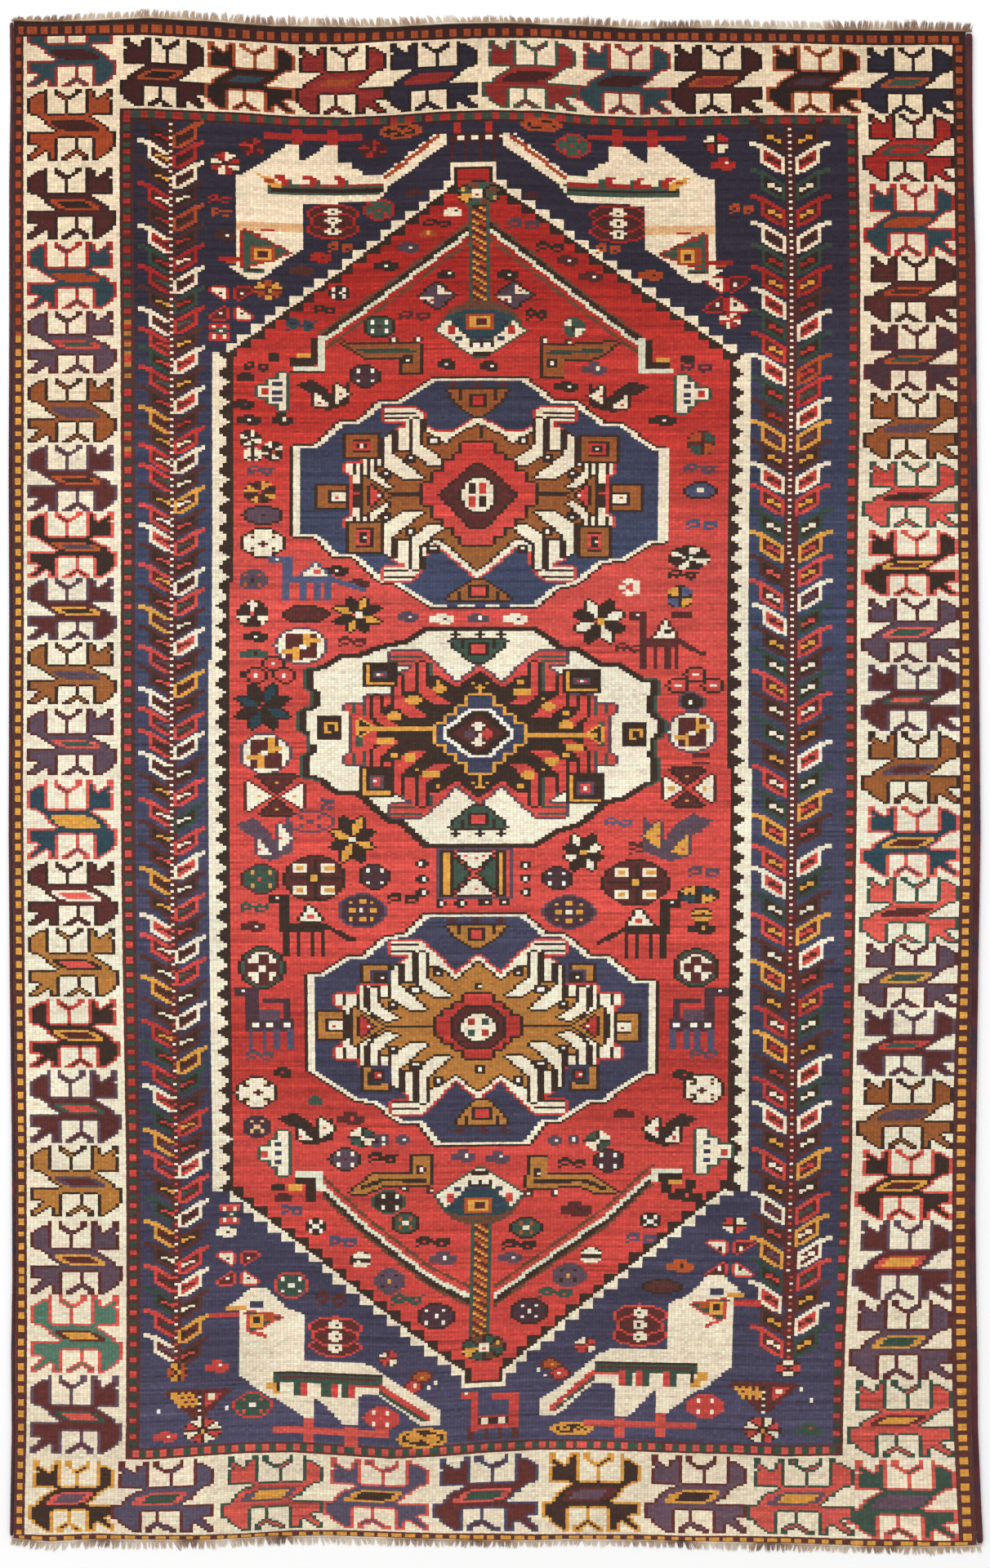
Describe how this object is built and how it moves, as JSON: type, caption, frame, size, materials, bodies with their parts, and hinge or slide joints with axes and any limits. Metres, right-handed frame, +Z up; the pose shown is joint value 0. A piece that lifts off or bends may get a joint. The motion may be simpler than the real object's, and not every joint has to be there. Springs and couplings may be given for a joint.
{
  "type": "persian rug",
  "caption": "Flat hand-knotted wool rug with an uneven outline, overcast cords along both long sides and a short warp fringe at each end.",
  "frame": {"origin": "centre of the box around the whole rug with its fringes, on the underside", "axes": "+X across the rug, +Y along it towards the top end of the picture, +Z up out of the pile"},
  "size_m": [1.5634, 2.4866, 0.008],
  "materials": {
    "knotted_wool": "short cut wool pile, red, navy, ivory and brown pattern",
    "overcast_wool": "tightly wrapped wool, dark red and purple brown",
    "warp_wool": "loose twisted wool warp ends, ivory to grey brown"
  },
  "bodies": {
    "root": {"rug": "knotted_wool", "selvedge_left": "overcast_wool", "selvedge_right": "overcast_wool", "fringe_top": "warp_wool", "fringe_bottom": "warp_wool"}
  },
  "joints": []
}
